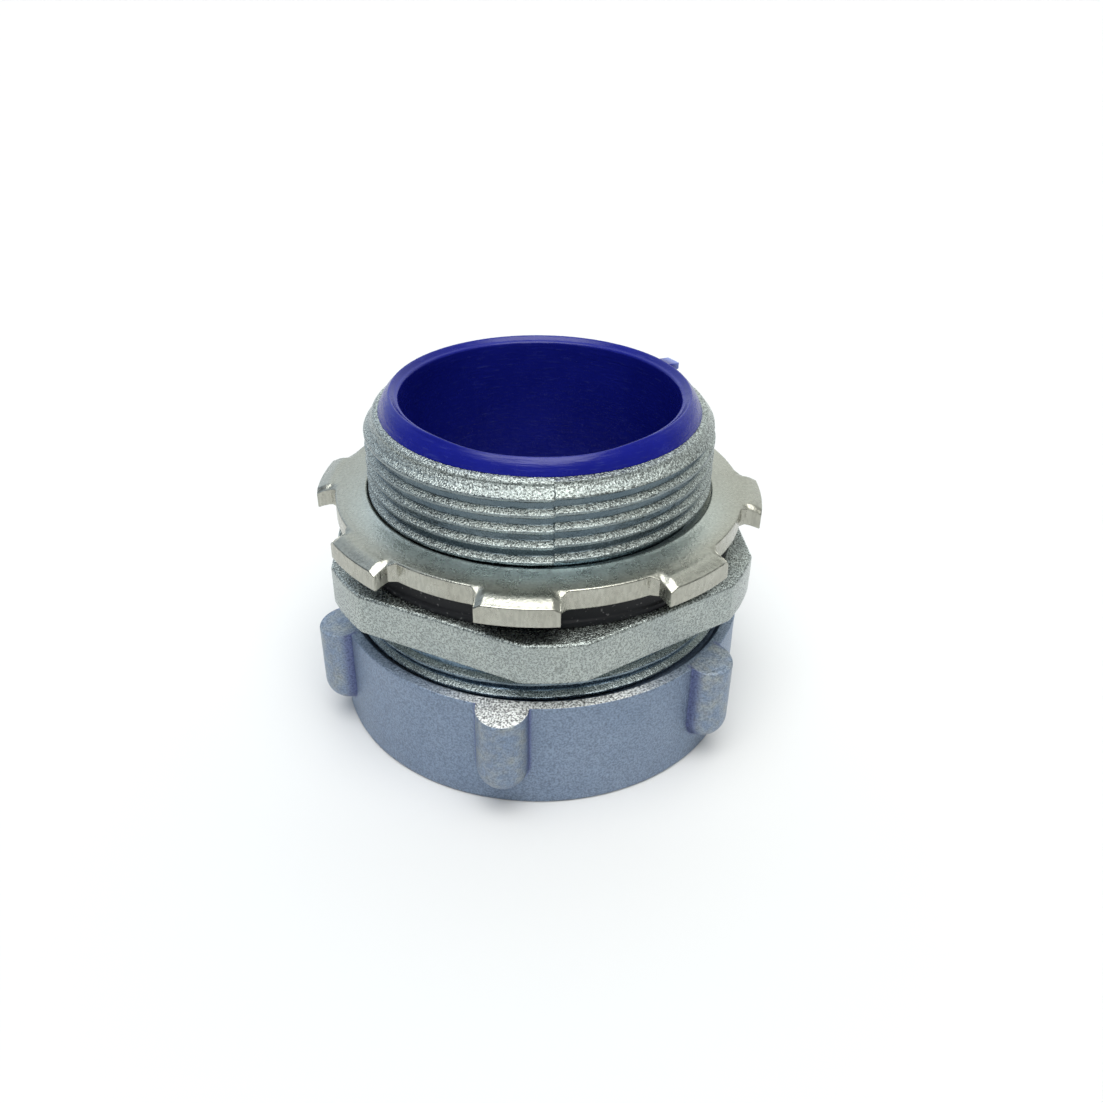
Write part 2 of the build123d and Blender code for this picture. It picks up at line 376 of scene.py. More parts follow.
def body_columns():
    """Closer columns at the flange's corners, the parting line and the hub's pit."""
    turned = [c + side * 8.0 for c in spaced_round(HEX_CORNER_AZ, HEX_SIDES) for side in (-1, 1)]
    edges = [(azimuth - 3, azimuth + 3, 0.5) for azimuth in turned]
    seam = (PARTING_AZ - 0.9, PARTING_AZ + 0.9, 0.12)
    pit = (HUB_PIT[0] - 1.0, HUB_PIT[0] + 1.0, 0.2)
    return columns(1.0, edges + [seam, pit])


def add_neck(rows):
    rows.add(MOUTH_R, NECK_LOW_Z)
    rows.add(NECK_END_R, NECK_LOW_Z)
    for z in np.arange(NECK_LOW_Z + 0.1, FLANGE_LOW_Z - 0.04, NECK_ROW):
        rows.add(neck_radius(rows.az, z), z)


def add_flange(rows):
    az = rows.az
    hex_r = hex_radius(az)
    low_r, top_r = hex_r - FLANGE_LOW_EDGE, hex_r - FLANGE_TOP_EDGE
    rows.add(NECK_ROOT_R, FLANGE_LOW_Z)
    rows.bridge(low_r, FLANGE_LOW_Z, 4)
    rows.corner(low_r, FLANGE_LOW_Z + FLANGE_LOW_EDGE, FLANGE_LOW_EDGE, -60, 0, 3)
    for z in np.linspace(FLANGE_LOW_Z + 0.7, FLANGE_TOP_Z - 0.7, 18):
        rows.add(hex_r + FLANGE_WAVE * ripple(az, z, 3) - dent(az, z, FLANGE_PIT), z)
    rows.corner(top_r, FLANGE_TOP_Z - FLANGE_TOP_EDGE, FLANGE_TOP_EDGE, 0, 90, 6)
    rows.bridge(HUB_ROOT_R + 0.8, FLANGE_TOP_Z, 5)


def add_hub(rows):
    az = rows.az
    rows.add(HUB_ROOT_R, FLANGE_TOP_Z + 0.1)
    for z in np.arange(FLANGE_TOP_Z + 0.5, HUB_TOP_Z - 0.1, HUB_ROW):
        rows.add(hub_radius(az, z) + HUB_WAVE * ripple(az, z, 5), z)
    rows.add(LIP_OUTER_R + 0.2, HUB_TOP_Z)


def add_body_bore(rows):
    """Downwards: the liner's bore, the ledge it stands on and the ferrule's pocket."""
    rows.add(LINER_R, HUB_TOP_Z)
    rows.bridge(LINER_R, LEDGE_TOP_Z, 6)
    rows.add(LEDGE_R, LEDGE_TOP_Z)
    rows.add(LEDGE_R, SHOULDER_Z)
    rows.add(POCKET_R, SHOULDER_Z)
    rows.add(POCKET_R, NECK_LOW_Z + MOUTH_DEPTH)


def worn_and_lit_share(height):
    """1 on a thread's flanks, worn bright and painted lit where they gleam, and less at its root (0)
    and its crest (1), painted in shade.
    """
    return smoothstep(0.02, 0.22, height) * (1.0 - 0.6 * smoothstep(0.92, 0.99, height))


def mark_body(piece, rows):
    """Marks how bright each place is painted: worn bright with painted light on the flanks and painted
    shade at the roots and crests, and where the casting's skin is coarser.
    """
    r, z = np.array(rows.r), np.array(rows.z)
    on_hub = (r - HUB_ROOT_R) / (HUB_CREST_R - HUB_ROOT_R)
    on_neck = (r - NECK_ROOT_R) / (NECK_CREST_R - NECK_ROOT_R)
    # Painted light and shade: flanks painted bright, thread roots and crests painted in shade; the
    # neck's flanks less bright
    flank = np.where(z > FLANGE_TOP_Z + 0.2, worn_and_lit_share(on_hub), 0.8 * worn_and_lit_share(on_neck))
    on_flange = (z > FLANGE_LOW_Z - 0.1) & (z < FLANGE_TOP_Z + 0.2)
    near_end = smoothstep(HUB_TOP_Z - 1.9, HUB_TOP_Z - 1.3, z)
    paint_marks(piece, "wear_and_shade", np.maximum(np.where(on_flange, 1.0, flank), near_end))
    paint_marks(piece, "coarse", z > FLANGE_TOP_Z - 0.2)


def build_body():
    rows = Rows(body_columns())
    add_neck(rows)
    add_flange(rows)
    add_hub(rows)
    add_body_bore(rows)
    piece = rows.mesh("connector_casting")
    mark_body(piece, rows)
    return piece


# ---------------------------------------------------------------- gland nut


def rib_place(azimuth, height):
    """Angle in radians from the nearest rib's middle, and depth below its round foot's centre."""
    off = np.radians(off_nearest(azimuth, RIB_AZ, RIB_COUNT))
    return off, np.maximum(RIB_FOOT_Z - height, 0.0)


def rib_radius(azimuth, height):
    """Radius of the nearest rib's surface, or 0 where there is none."""
    off, below = rib_place(azimuth, height)
    size = np.sqrt(np.maximum(RIB_R**2 - below**2, 0.0))
    side = NUT_R * np.sin(off)
    inside = np.sqrt(np.maximum(size**2 - side**2, 0.0))
    return np.where(np.abs(side) < size, NUT_R * np.cos(off) + inside, 0.0)


def past_rib_edge(azimuth, height):
    """Distance from the nearest rib's outline on the wall, negative inside it."""
    off, below = rib_place(azimuth, height)
    return np.hypot(NUT_R * np.sin(off), below) - RIB_R


def nut_wall(azimuth, height):
    """Outer wall with its ribs, a small fillet at their feet."""
    wall = NUT_R + NUT_WAVE * ripple(azimuth, height, 11)
    return smooth_max(wall, rib_radius(azimuth, height), 0.22)


def add_nut_wall(rows):
    rows.add(NUT_ENTRY_R, NUT_LOW_Z)
    rows.bridge(NUT_R - NUT_EDGE, NUT_LOW_Z, 3)
    rows.corner(NUT_R - NUT_EDGE, NUT_LOW_Z + NUT_EDGE, NUT_EDGE, -70, 0, 3)
    for z in np.arange(NUT_LOW_Z + 0.9, RIB_TOP_Z - 0.45, NUT_ROW):
        rows.add(nut_wall(rows.az, z), z)
    full = nut_wall(rows.az, RIB_TOP_Z)
    edge_z = NUT_TOP_Z - 0.16 - 0.14 * (full - NUT_R)
    rows.corner(full - RIB_EDGE, edge_z - 0.16, RIB_EDGE, 0, 75, 4)
    return full


def add_nut_top(rows, full):
    """The flat top, from the ribs' tops to the mouth."""
    rows.bridge(np.minimum(full - 0.3, NUT_R - 0.45), NUT_TOP_Z - 0.1, 6)
    rows.bridge(NUT_MOUTH_R + 0.25, NUT_TOP_Z, 3)


def add_nut_bore(rows):
    """Downwards: the rounded mouth, the thread, the ring's seat and the conduit's entry."""
    rows.corner(NUT_MOUTH_R + 0.25, NUT_TOP_Z - 0.25, 0.25, 100, 170, 3)
    rows.add(NUT_BORE_R, NUT_TOP_Z - 0.9)
    for z in np.arange(NUT_TOP_Z - 1.0, NUT_THREAD_LOW_Z, -FEMALE_ROW):
        radius = female_radius(rows.az, z, NECK_CREST_FRONT_Z, NECK_ROOT_R, NECK_CREST_R)
        rows.add(radius, z)
    rows.add(NUT_BORE_R, NUT_SEAT_TOP_Z)
    rows.add(NUT_SEAT_R, NUT_FLOOR_Z)
    rows.add(NUT_ENTRY_R, NUT_FLOOR_Z)
    rows.bridge(NUT_ENTRY_R, NUT_LOW_Z + 1.0, 2)


def mark_nut(piece, rows, top_rows):
    """Marks the ribs, the creases round them and a painted highlight: the part of the top near the
    front, painted pale.
    """
    az = rows.az
    rib = np.array([rib_radius(az, z[0]) for z in rows.z])
    edge = np.array([past_rib_edge(az, z[0]) for z in rows.z])
    outside = np.array(rows.r) > NUT_R - 1.0
    paint_marks(piece, "rib", np.where(outside, smoothstep(0.3, 1.6, rib - NUT_R), 0.0))
    # The creases round the ribs are painted darker violet: partly a violet stain, partly painted shade
    paint_marks(piece, "crease_stain_and_shade", np.where(outside, np.exp(-((edge / 0.28) ** 2)), 0.0))
    painted_highlight = np.zeros(outside.shape)
    # Painted highlight: the top is painted pale near the front, where the light gleams on it
    painted_highlight[top_rows] = 0.06 + 0.94 * np.exp(-(((az - HIGHLIGHT_AZ) / HIGHLIGHT_HALF_AZ) ** 4))
    paint_marks(piece, "painted_highlight", painted_highlight)


def build_nut():
    rows = Rows(columns(1.5, [(c - 8.5, c + 8.5, 0.25) for c in spaced_round(RIB_AZ, RIB_COUNT)]))
    full = add_nut_wall(rows)
    first_top = len(rows.z) - 1
    add_nut_top(rows, full)
    top_rows = slice(first_top, len(rows.z))
    add_nut_bore(rows)
    piece = rows.mesh("gland_nut_casting")
    mark_nut(piece, rows, top_rows)
    return piece


# ---------------------------------------------------------------- locknut


def lug_side(azimuth):
    """Distance round the rim past the nearest lug's side, negative on the lug."""
    off = np.abs(off_nearest(azimuth, LUG_AZ, LUG_COUNT))
    return (off - LUG_HALF_AZ) * math.radians(1) * LUG_R


def locknut_reach(azimuth):
    """Radius of the outline: steep lug sides with a flare at their roots."""
    side = lug_side(azimuth)
    steep = 1.0 - smoothstep(-0.16, 0.16, side)
    flare = 1.0 - smoothstep(-0.2, 1.3, side)
    return PLATE_R + (LUG_R - PLATE_R) * (0.70 * steep + 0.30 * flare)


def lug_bend(azimuth, r, start, drop):
    """How far a lug has bent down at radius r: an even slope after a short curve."""
    lug = 1.0 - smoothstep(-0.20, 0.45, lug_side(azimuth))
    along = np.clip((r - start) / (LUG_R - start), 0.0, 1.0)
    return drop * lug * (along * along * (1.6 - 0.6 * along))


def locknut_low_z(azimuth, r):
    return PLATE_LOW_Z - lug_bend(azimuth, r, LUG_BEND_LOW_R, PLATE_LOW_Z - LOCKNUT_LOW_Z)


def locknut_top_z(azimuth, r):
    """Top face: a slight crown towards the hub, and lugs bent down with drawn-down corners."""
    near_bore = 0.12 * (1 - smoothstep(PLATE_INNER_R, PLATE_INNER_R + 0.8, r))
    crown = near_bore + 0.88 * np.clip((29.0 - r) / 4.5, 0.0, 1.0)
    drawn = LUG_CORNER_DROP * smoothstep(-1.2, 0.05, lug_side(azimuth))
    corner = drawn * smoothstep(28.4, 29.9, r)
    bend = lug_bend(azimuth, r, LUG_BEND_TOP_R, PLATE_RIM_Z - LUG_TOP_Z)
    return PLATE_RIM_Z + (LOCKNUT_TOP_Z - PLATE_RIM_Z) * crown - corner - bend


def add_locknut_low(rows):
    az = rows.az
    rows.add(HUB_CREST_R + 0.35, PLATE_LOW_Z)
    for r in np.linspace(25.0, LUG_ROOT_R, 4):
        rows.add(r, locknut_low_z(az, r))
    end = locknut_reach(az) - 0.14
    for t in np.linspace(0.0, 1.0, 9)[1:]:
        r = LUG_ROOT_R + (end - LUG_ROOT_R) * t
        rows.add(r, locknut_low_z(az, r))


def add_locknut_rim(rows):
    az = rows.az
    reach = locknut_reach(az)
    base = locknut_low_z(az, reach - 0.14)
    crest = locknut_top_z(az, reach - 0.24)
    rows.corner(reach - 0.14, base + 0.14, 0.14, -60, 0, 2)
    for t in np.linspace(0.12, 0.88, 6):
        rows.add(reach, base + (crest - base) * t)
    rows.corner(reach - 0.24, crest - 0.24, 0.24, 0, 75, 4)


def add_locknut_top(rows):
    az = rows.az
    end = locknut_reach(az) - 0.3
    for t in np.linspace(1.0, 0.0, 13):
        r = LUG_ROOT_R + (end - LUG_ROOT_R) * t
        rows.add(r, locknut_top_z(az, r))
    for r in np.linspace(27.5, 24.75, 14):
        rows.add(r, locknut_top_z(az, r))


def add_locknut_bore(rows):
    rows.corner(HUB_CREST_R + 0.45, LOCKNUT_TOP_Z - 0.3, 0.3, 80, 170, 4)
    for z in np.arange(LOCKNUT_TOP_Z - 0.4, PLATE_LOW_Z + 0.1, -FEMALE_ROW):
        rows.add(female_radius(rows.az, z, HUB_CREST_FRONT_Z, HUB_ROOT_R, HUB_CREST_R), z)


def build_locknut():
    flanks = [c + s * LUG_HALF_AZ for c in spaced_round(LUG_AZ, LUG_COUNT) for s in (-1, 1)]
    rows = Rows(columns(1.5, [(flank - 2.4, flank + 2.4, 0.14) for flank in flanks]))
    add_locknut_low(rows)
    add_locknut_rim(rows)
    add_locknut_top(rows)
    add_locknut_bore(rows)
    piece = rows.mesh("locknut_stamping")
    # Painted reflection: near the bore, towards the front, the plate is painted paler and bluer
    front = (0.5 + 0.5 * np.cos(np.radians(rows.az))) ** 4
    paint_marks(piece, "front_bore_reflection", front * (1.0 - smoothstep(25.0, 28.8, np.array(rows.r))))
    return piece


# ---------------------------------------------------------------- gasket


def build_gasket():
    rows = Rows(columns(2.0))
    az = rows.az
    rows.add(GASKET_BORE_R, GASKET_LOW_Z)
    rows.bridge(GASKET_FOOT_R - 0.2, GASKET_LOW_Z, 2)
    rows.corner(GASKET_FOOT_R - 0.2, GASKET_LOW_Z + 0.2, 0.2, -80, 0, 3)
    rows.corner(GASKET_FOOT_R - 0.25, GASKET_LOW_Z + 0.7, 0.25, 0, 80, 3)
    for z in np.linspace(GASKET_LOW_Z + 1.1, GASKET_TOP_Z - 0.4, 6):
        rows.add(GASKET_R + GASKET_WAVE * ripple(az, z, 21), z)
    rows.corner(GASKET_R - 0.32, GASKET_TOP_Z - 0.3, 0.3, 0, 90, 3)
    rows.bridge(GASKET_BORE_R, GASKET_TOP_Z, 2)
    rows.bridge(GASKET_BORE_R, GASKET_LOW_Z + 1.0, 2)
    return rows.mesh("rubber_gasket")


# ---------------------------------------------------------------- throat liner


def gate_stub(azimuth, height):
    """1 on the stub that the moulding gate left on the lip's side, 0 elsewhere."""
    across = np.abs(wrapped(azimuth - GATE_AZ)) * math.radians(1) * LIP_OUTER_R
    above = smoothstep(GATE_LOW_Z, GATE_LOW_Z + 0.25, height)
    below = 1.0 - smoothstep(GATE_TOP_Z - 0.15, GATE_TOP_Z, height)
    return (1.0 - smoothstep(GATE_HALF - 0.3, GATE_HALF, across)) * above * below


def add_lip_slope(rows, crease_r, crease_z):
    """The lip's bulging outer slope, from the hub's end up to its crease."""
    az = rows.az
    rows.add(LIP_OUTER_R - 0.1, HUB_TOP_Z)
    for t in np.linspace(0.0, 1.0, 12):
        bulge = 0.22 * math.sin(math.pi * t)
        r = LIP_OUTER_R + (crease_r - LIP_OUTER_R) * t
        z = HUB_TOP_Z + 0.05 + (crease_z - HUB_TOP_Z - 0.05) * t + bulge
        rows.add(r + gate_stub(az, z) * (GATE_R - r) + LIP_WAVE * ripple(az, z, 31), z)
    rows.add(crease_r - 0.03, crease_z + 0.03)


def add_lip_mouth(rows, pressed):
    """The mouth, sloping in to a rounded corner at the throat."""
    mouth_r = THROAT_R + MOUTH_EDGE + 0.8 * pressed
    mouth_z = LIP_INNER_Z + 0.15 - pressed
    rows.bridge(mouth_r, mouth_z + MOUTH_EDGE, 4)
    rows.corner(mouth_r, mouth_z, MOUTH_EDGE, 100, 180, 5)
    rows.add(THROAT_R, mouth_z - 1.2)


def build_liner():
    rows = Rows(columns(1.5, [(GATE_AZ - 6, GATE_AZ + 6, 0.4)]))
    pressed = PRESSED_DEPTH * np.exp(-((rows.az / PRESSED_HALF_AZ) ** 4))
    crest_r, top_z = LIP_CREST_R + pressed, LINER_TOP_Z - pressed
    rows.add(THROAT_R, LINER_LOW_Z)
    rows.add(LINER_R, LINER_LOW_Z)
    rows.bridge(LINER_R, HUB_TOP_Z, 6)
    add_lip_slope(rows, crest_r + 0.38, top_z - 0.3)
    rows.corner(crest_r, top_z - LIP_EDGE, LIP_EDGE, 45, 100, 4)
    add_lip_mouth(rows, pressed)
    rows.bridge(THROAT_R, LINER_LOW_Z + 1.0, 14)
    piece = rows.mesh("nylon_throat")
    paint_marks(piece, "gate", smoothstep(LIP_OUTER_R + 0.1, LIP_OUTER_R + 0.8, np.array(rows.r)))
    return piece


# ---------------------------------------------------------------- materials


def new_material(name):
    material = bpy.data.materials.new(name)
    material.use_nodes = True
    tree = material.node_tree
    shader = tree.nodes["Principled BSDF"]
    return material, tree, shader


def add_noise(tree, scale, detail=2.0, rough=0.5, stretch=None):
    """Noise over the piece's own coordinates; scale counts features per metre."""
    coords = tree.nodes.new("ShaderNodeTexCoord")
    noise = tree.nodes.new("ShaderNodeTexNoise")
    noise.inputs["Scale"].default_value = scale
    noise.inputs["Detail"].default_value = detail
    noise.inputs["Roughness"].default_value = rough
    if stretch is None:
        tree.links.new(coords.outputs["Object"], noise.inputs["Vector"])
    else:
        mapping = tree.nodes.new("ShaderNodeMapping")
        mapping.inputs["Scale"].default_value = stretch
        tree.links.new(coords.outputs["Object"], mapping.inputs["Vector"])
        tree.links.new(mapping.outputs["Vector"], noise.inputs["Vector"])
    return noise


def add_ramp(tree, factor, stops):
    """A colour ramp over factor; stops are (place, colour) pairs."""
    ramp = tree.nodes.new("ShaderNodeValToRGB")
    while len(ramp.color_ramp.elements) < len(stops):
        ramp.color_ramp.elements.new(0.5)
    for element, (place, colour) in zip(ramp.color_ramp.elements, stops):
        element.position = place
        element.color = (*colour, 1.0)
    tree.links.new(factor, ramp.inputs["Fac"])
    return ramp


def add_range(tree, value, low_in, high_in, low_out, high_out):
    node = tree.nodes.new("ShaderNodeMapRange")
    tree.links.new(value, node.inputs["Value"])
    node.inputs["From Min"].default_value = low_in
    node.inputs["From Max"].default_value = high_in
    node.inputs["To Min"].default_value = low_out
    node.inputs["To Max"].default_value = high_out
    return node


def add_mix(tree, factor, first, second, blend="MIX"):
    node = tree.nodes.new("ShaderNodeMix")
    node.data_type = "RGBA"
    node.blend_type = blend
    if isinstance(factor, float):
        node.inputs["Factor"].default_value = factor
    else:
        tree.links.new(factor, node.inputs["Factor"])
    for socket, colour in (("A", first), ("B", second)):
        target = [s for s in node.inputs if s.name == socket and s.type == "RGBA"][0]
        if isinstance(colour, tuple):
            target.default_value = (*colour, 1.0)
        else:
            tree.links.new(colour, target)
    return [s for s in node.outputs if s.type == "RGBA"][0]


def add_bumps(tree, shader, layers):
    """Chains (height, strength, distance) bumps into the shader's normal."""
    normal = None
    for height, strength, distance in layers:
        bump = tree.nodes.new("ShaderNodeBump")
        if isinstance(strength, float):
            bump.inputs["Strength"].default_value = strength
        else:
            tree.links.new(strength, bump.inputs["Strength"])
        bump.inputs["Distance"].default_value = distance
        tree.links.new(height, bump.inputs["Height"])
        if normal is not None:
            tree.links.new(normal, bump.inputs["Normal"])
        normal = bump.outputs["Normal"]
    tree.links.new(normal, shader.inputs["Normal"])


def read_mark(tree, name):
    mark = tree.nodes.new("ShaderNodeAttribute")
    mark.attribute_name = name
    return mark.outputs["Fac"]


def cloudy(tree, dark, light, scale=160.0):
    """A slow drift between two tones."""
    cloud = add_noise(tree, scale, 4.0, 0.6)
    return add_ramp(tree, cloud.outputs["Fac"], [(0.32, dark), (0.68, light)]).outputs["Color"]


def sand_noise(tree):
    """The fine grain of a die casting, about a quarter of a millimetre apart."""
    return add_noise(tree, 3700.0, 3.0, 0.6).outputs["Fac"]


def grain(tree, shader, sand, roughness, depth):
    """The sandy skin of a die casting: fine grain over wider pits, with an uneven sheen."""
    sheen = add_range(tree, sand, 0.3, 0.7, roughness - 0.07, roughness + 0.09)
    tree.links.new(sheen.outputs["Result"], shader.inputs["Roughness"])
    pits = add_noise(tree, 1000.0, 3.0, 0.55)
    add_bumps(tree, shader, [(pits.outputs["Fac"], 0.4, 0.00025), (sand, depth, 0.00026)])


def speckled(tree, tone, sand, low, high):
    """The tone made darker in the grain's hollows and lighter on its tops: painted shade and painted
    glints at the scale of the grain, over its uneven tone.
    """
    shade = add_range(tree, sand, 0.38, 0.60, low, high)
    grey = tree.nodes.new("ShaderNodeCombineColor")
    for channel in ("Red", "Green", "Blue"):
        tree.links.new(shade.outputs["Result"], grey.inputs[channel])
    return add_mix(tree, 1.0, tone, grey.outputs["Color"], "MULTIPLY")


def body_zinc():
    """Bright zinc, duller and bluer down in the thread's grooves: partly passivation, partly painted
    shade, and on the neck a painted blue reflection of the nut.
    """
    material, tree, shader = new_material("body_zinc")
    shader.inputs["Metallic"].default_value = 0.94
    bright = cloudy(tree, (0.375, 0.415, 0.405), (0.440, 0.480, 0.455))
    coarse = read_mark(tree, "coarse")
    neck_groove = cloudy(tree, (0.120, 0.185, 0.255), (0.165, 0.240, 0.310))
    hub_groove = cloudy(tree, (0.095, 0.132, 0.158), (0.135, 0.175, 0.195))
    groove = add_mix(tree, coarse, neck_groove, hub_groove)
    wear_and_shade = read_mark(tree, "wear_and_shade")
    # The groove tone is painted shade over the zinc's passivation; the worn tone on the flanks is
    # partly painted highlight
    tone = add_mix(tree, wear_and_shade, groove, bright)
    sand = sand_noise(tree)
    # The coarse skin gets a wider swing of painted glints and painted shade in its grain
    smooth = speckled(tree, tone, sand, 0.58, 1.12)
    rough = speckled(tree, tone, sand, 0.36, 1.40)
    skin = add_mix(tree, coarse, smooth, rough)
    tone = add_mix(tree, wear_and_shade, tone, skin)
    tree.links.new(tone, shader.inputs["Base Color"])
    top_depth = add_range(tree, coarse, 0.0, 1.0, 0.44, 0.74)
    depth = add_range(tree, wear_and_shade, 0.0, 1.0, 0.06, 1.0)
    tree.links.new(top_depth.outputs["Result"], depth.inputs["To Max"])
    grain(tree, shader, sand, 0.25, depth.outputs["Result"])
    return material


def nut_zinc():
    """Blue passivated zinc: yellowish on the ribs, violet in creases with painted shade there, and a
    painted highlight in pale, less metallic colour on the top at the front.
    """
    material, tree, shader = new_material("nut_zinc")
    shader.inputs["Metallic"].default_value = 0.88
    blue = cloudy(tree, (0.225, 0.290, 0.395), (0.260, 0.325, 0.430), 90.0)
    patch = add_noise(tree, 500.0, 4.0, 0.6)
    stain = add_range(tree, patch.outputs["Fac"], 0.40, 0.72, 0.0, 0.7)
    on_rib = tree.nodes.new("ShaderNodeMath")
    on_rib.operation = "MULTIPLY"
    tree.links.new(stain.outputs["Result"], on_rib.inputs[0])
    tree.links.new(read_mark(tree, "rib"), on_rib.inputs[1])
    tone = add_mix(tree, on_rib.outputs["Value"], blue, (0.40, 0.41, 0.37))
    # Darker violet in the creases: partly a violet stain, partly painted shade
    crease_stain_and_shade = add_range(tree, read_mark(tree, "crease_stain_and_shade"), 0.0, 1.0, 0.0, 0.8)
    tone = add_mix(tree, crease_stain_and_shade.outputs["Result"], tone, (0.12, 0.14, 0.31))
    sand = sand_noise(tree)
    tone = speckled(tree, tone, sand, 0.68, 1.18)
    # Painted highlight: a pale, less metallic colour on the top near the front
    highlight_white = speckled(tree, (0.97, 0.98, 0.96), sand, 0.12, 1.2)
    painted_highlight = read_mark(tree, "painted_highlight")
    tree.links.new(add_mix(tree, painted_highlight, tone, highlight_white), shader.inputs["Base Color"])
    metal = add_range(tree, painted_highlight, 0.0, 1.0, 0.88, 0.15)
    tree.links.new(metal.outputs["Result"], shader.inputs["Metallic"])
    grain(tree, shader, sand, 0.40, 0.6)
    return material


def plated_steel(name):
    """Warm grey zinc plate on stamped steel, with upright scratches on its cut edges."""
    material, tree, shader = new_material(name)
    shader.inputs["Metallic"].default_value = 0.95
    tone = cloudy(tree, (0.395, 0.390, 0.335), (0.445, 0.445, 0.390), 130.0)
    sand = add_noise(tree, 2600.0, 3.0, 0.6, (1.0, 1.0, 0.35)).outputs["Fac"]
    # Painted reflection near the bore at the front: a paler, bluer tone
    tone = add_mix(tree, read_mark(tree, "front_bore_reflection"), tone, (0.70, 0.81, 0.81))
    tree.links.new(speckled(tree, tone, sand, 0.88, 1.06), shader.inputs["Base Color"])
    smear = add_noise(tree, 500.0, 3.0, 0.6)
    sheen = add_range(tree, smear.outputs["Fac"], 0.3, 0.7, 0.22, 0.34)
    tree.links.new(sheen.outputs["Result"], shader.inputs["Roughness"])
    wave = add_noise(tree, 420.0, 2.0, 0.5)
    add_bumps(tree, shader, [(wave.outputs["Fac"], 0.10, 0.0004), (sand, 0.3, 0.00018)])
    return material


def blue_nylon():
    """Royal blue nylon, scratched; the moulding gate is thin enough to look pale."""
    material, tree, shader = new_material("blue_nylon")
    tone = cloudy(tree, (0.005, 0.008, 0.178), (0.008, 0.012, 0.228), 90.0)
    tone = add_mix(tree, read_mark(tree, "gate"), tone, (0.17, 0.22, 0.55))
    scuff = add_noise(tree, 1500.0, 3.0, 0.6, (0.25, 0.25, 2.5)).outputs["Fac"]
    scratch = add_range(tree, scuff, 0.60, 0.76, 0.0, 0.22)
    tone = add_mix(tree, scratch.outputs["Result"], tone, (0.10, 0.13, 0.36))
    tree.links.new(tone, shader.inputs["Base Color"])
    wear = add_noise(tree, 700.0, 3.0, 0.6)
    sheen = add_range(tree, wear.outputs["Fac"], 0.35, 0.7, 0.20, 0.30)
    tree.links.new(sheen.outputs["Result"], shader.inputs["Roughness"])
    shader.inputs["Specular IOR Level"].default_value = 0.32
    add_bumps(tree, shader, [(scuff, 0.45, 0.00012)])
    return material


def black_rubber():
    material, tree, shader = new_material("black_rubber")
    dust = add_noise(tree, 1900.0, 1.0, 0.5)
    specks = [(0.66, (0.0018, 0.0024, 0.0046)), (0.74, (0.10, 0.10, 0.10))]
    tone = add_ramp(tree, dust.outputs["Fac"], specks)
    tree.links.new(tone.outputs["Color"], shader.inputs["Base Color"])
    shader.inputs["Roughness"].default_value = 0.55
    shader.inputs["Specular IOR Level"].default_value = 0.35
    fine = add_noise(tree, 2200.0, 2.0, 0.5)
    add_bumps(tree, shader, [(fine.outputs["Fac"], 0.25, 0.0001)])
    return material


def natural_nylon():
    material, tree, shader = new_material("natural_nylon")
    tone = cloudy(tree, (0.60, 0.59, 0.54), (0.70, 0.69, 0.65), 180.0)
    tree.links.new(tone, shader.inputs["Base Color"])
    shader.inputs["Roughness"].default_value = 0.5
    shader.inputs["Subsurface Weight"].default_value = 0.15
    shader.inputs["Subsurface Radius"].default_value = (0.002, 0.002, 0.0015)
    fine = add_noise(tree, 1200.0, 2.0, 0.5)
    add_bumps(tree, shader, [(fine.outputs["Fac"], 0.15, 0.0001)])
    return material


# ---------------------------------------------------------------- stage


VIEW_DISTANCE = 150.0
VIEW_ELEVATION = 31.66
VIEW_TARGET_Z = 21.735
VIEW_SHIFT_X = 1.865
VIEW_ROLL = 0.876
LENS = 32.78
FRONT_GLOW = 0.16
BACK_GLOW = 1.08
OVERHEAD_GLOW = 5.2

# Parts of the room: a direction, and the angles from it, in degrees, where it ends and is full
OVERHEAD = ((0.0, -0.30, 0.95), 36.0, 19.0)
BEHIND = ((0.0, 1.0, 0.35), 80.0, 20.0)
LEFT = ((-1.0, -0.2, 0.1), 110.0, 30.0)
FLOOR_HALF_M = 6.0
FLOOR_TONE = 0.71


def place_camera():
    tilt = math.radians(VIEW_ELEVATION)
    forward = Vector((0.0, math.cos(tilt), -math.sin(tilt)))
    right = Vector((1.0, 0.0, 0.0))
    up = right.cross(forward)
    roll = math.radians(VIEW_ROLL)
    side = right * math.cos(roll) + up * math.sin(roll)
    head = up * math.cos(roll) - right * math.sin(roll)
    place = Vector((VIEW_SHIFT_X, 0.0, VIEW_TARGET_Z)) - forward * VIEW_DISTANCE
    data = bpy.data.cameras.new("camera")
    data.lens = LENS
    data.sensor_width = 36.0
    data.clip_start = 0.01
    camera = bpy.data.objects.new("camera", data)
    turn = Matrix((side, head, -forward)).transposed().to_4x4()
    camera.matrix_world = Matrix.Translation(place * MM) @ turn
    bpy.context.scene.collection.objects.link(camera)
    bpy.context.scene.camera = camera


def sky_share(tree, direction, wide, narrow):
    """1 towards a direction, fading to 0 between two angles from it, in degrees."""
    coords = tree.nodes.new("ShaderNodeTexCoord")
    dot = tree.nodes.new("ShaderNodeVectorMath")
    dot.operation = "DOT_PRODUCT"
    dot.inputs[1].default_value = Vector(direction).normalized()
    tree.links.new(coords.outputs["Generated"], dot.inputs[0])
    low, high = math.cos(math.radians(wide)), math.cos(math.radians(narrow))
    share = add_range(tree, dot.outputs["Value"], low, high, 0.0, 1.0)
    share.interpolation_type = "SMOOTHSTEP"
    return share.outputs["Result"]


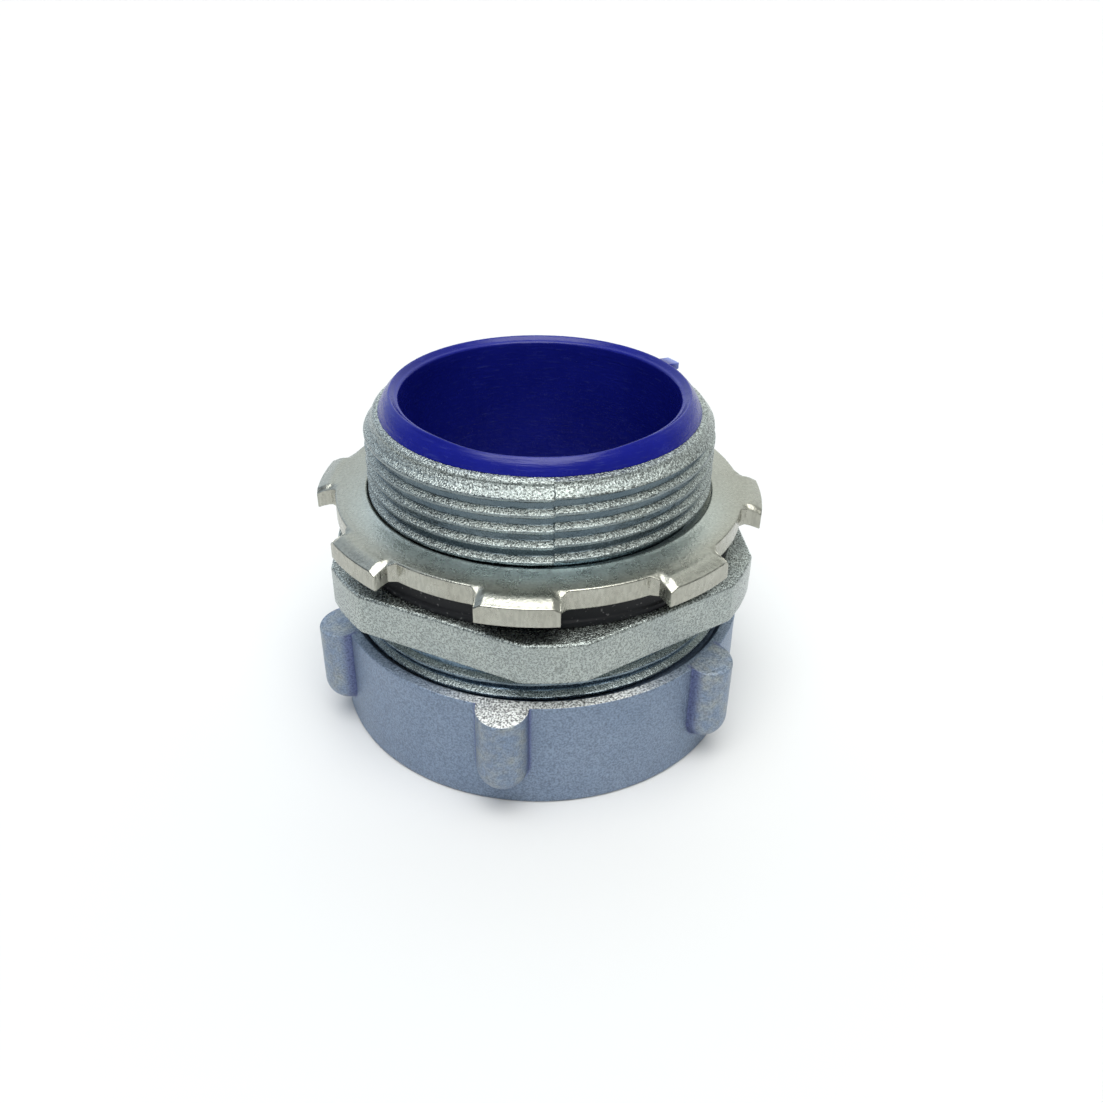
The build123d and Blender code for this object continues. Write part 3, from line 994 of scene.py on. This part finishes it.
def show_plain_backdrop(tree, room):
    """Past the floor every view shows plain white, which lights nothing, in place of the room."""
    white = tree.nodes.new("ShaderNodeBackground")
    white.inputs["Color"].default_value = (1.0, 1.0, 1.0, 1.0)
    white.inputs["Strength"].default_value = BACK_GLOW
    path = tree.nodes.new("ShaderNodeLightPath")
    seen = tree.nodes.new("ShaderNodeMixShader")
    tree.links.new(path.outputs["Is Camera Ray"], seen.inputs["Fac"])
    tree.links.new(room.outputs["Background"], seen.inputs[1])
    tree.links.new(white.outputs["Background"], seen.inputs[2])
    tree.links.new(seen.outputs["Shader"], tree.nodes["World Output"].inputs["Surface"])


def light_studio():
    """A room pale behind and dim in front, with one big soft light overhead, bluer on the left."""
    world = bpy.data.worlds.new("studio")
    world.use_nodes = True
    tree = world.node_tree
    back = tree.nodes["Background"]
    left = sky_share(tree, *LEFT)
    tint = add_mix(tree, left, (0.90, 0.95, 0.93), (0.68, 0.82, 1.0))
    overhead = sky_share(tree, *OVERHEAD)
    tint = add_mix(tree, overhead, tint, (1.0, 1.0, 0.98))
    tree.links.new(tint, back.inputs["Color"])
    behind = sky_share(tree, *BEHIND)
    room = add_range(tree, behind, 0.0, 1.0, FRONT_GLOW, BACK_GLOW)
    strength = tree.nodes.new("ShaderNodeMapRange")
    tree.links.new(overhead, strength.inputs["Value"])
    tree.links.new(room.outputs["Result"], strength.inputs["To Min"])
    strength.inputs["To Max"].default_value = OVERHEAD_GLOW
    tree.links.new(strength.outputs["Result"], back.inputs["Strength"])
    show_plain_backdrop(tree, back)
    bpy.context.scene.world = world


def build_floor():
    mesh = bpy.data.meshes.new("floor")
    corners = [(x * FLOOR_HALF_M, y * FLOOR_HALF_M, 0) for x, y in ((-1, -1), (1, -1), (1, 1), (-1, 1))]
    mesh.from_pydata(corners, [], [(0, 1, 2, 3)])
    floor = bpy.data.objects.new("floor", mesh)
    bpy.context.scene.collection.objects.link(floor)
    material, _, shader = new_material("pale_floor")
    shader.inputs["Base Color"].default_value = (FLOOR_TONE, FLOOR_TONE, FLOOR_TONE, 1.0)
    shader.inputs["Roughness"].default_value = 0.9
    mesh.materials.append(material)


place_camera()
light_studio()
build_floor()

mount(build_body(), "body", "connector_body", body_zinc())
mount(build_liner(), "body", "throat_liner", blue_nylon())
mount(build_nut(), "nut", "gland_nut", nut_zinc())
mount(build_locknut(), "locknut", "locknut", plated_steel("locknut_steel"))
mount(build_gasket(), "gasket", "sealing_gasket", black_rubber())


def dress(node, material):
    """Gives a CAD node that stays visible its material."""
    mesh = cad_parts[node].data
    mesh.materials.clear()
    mesh.materials.append(material)


dress("compression_ring", natural_nylon())
dress("grounding_ferrule", plated_steel("ferrule_steel"))

bpy.context.scene.view_settings.view_transform = "Standard"
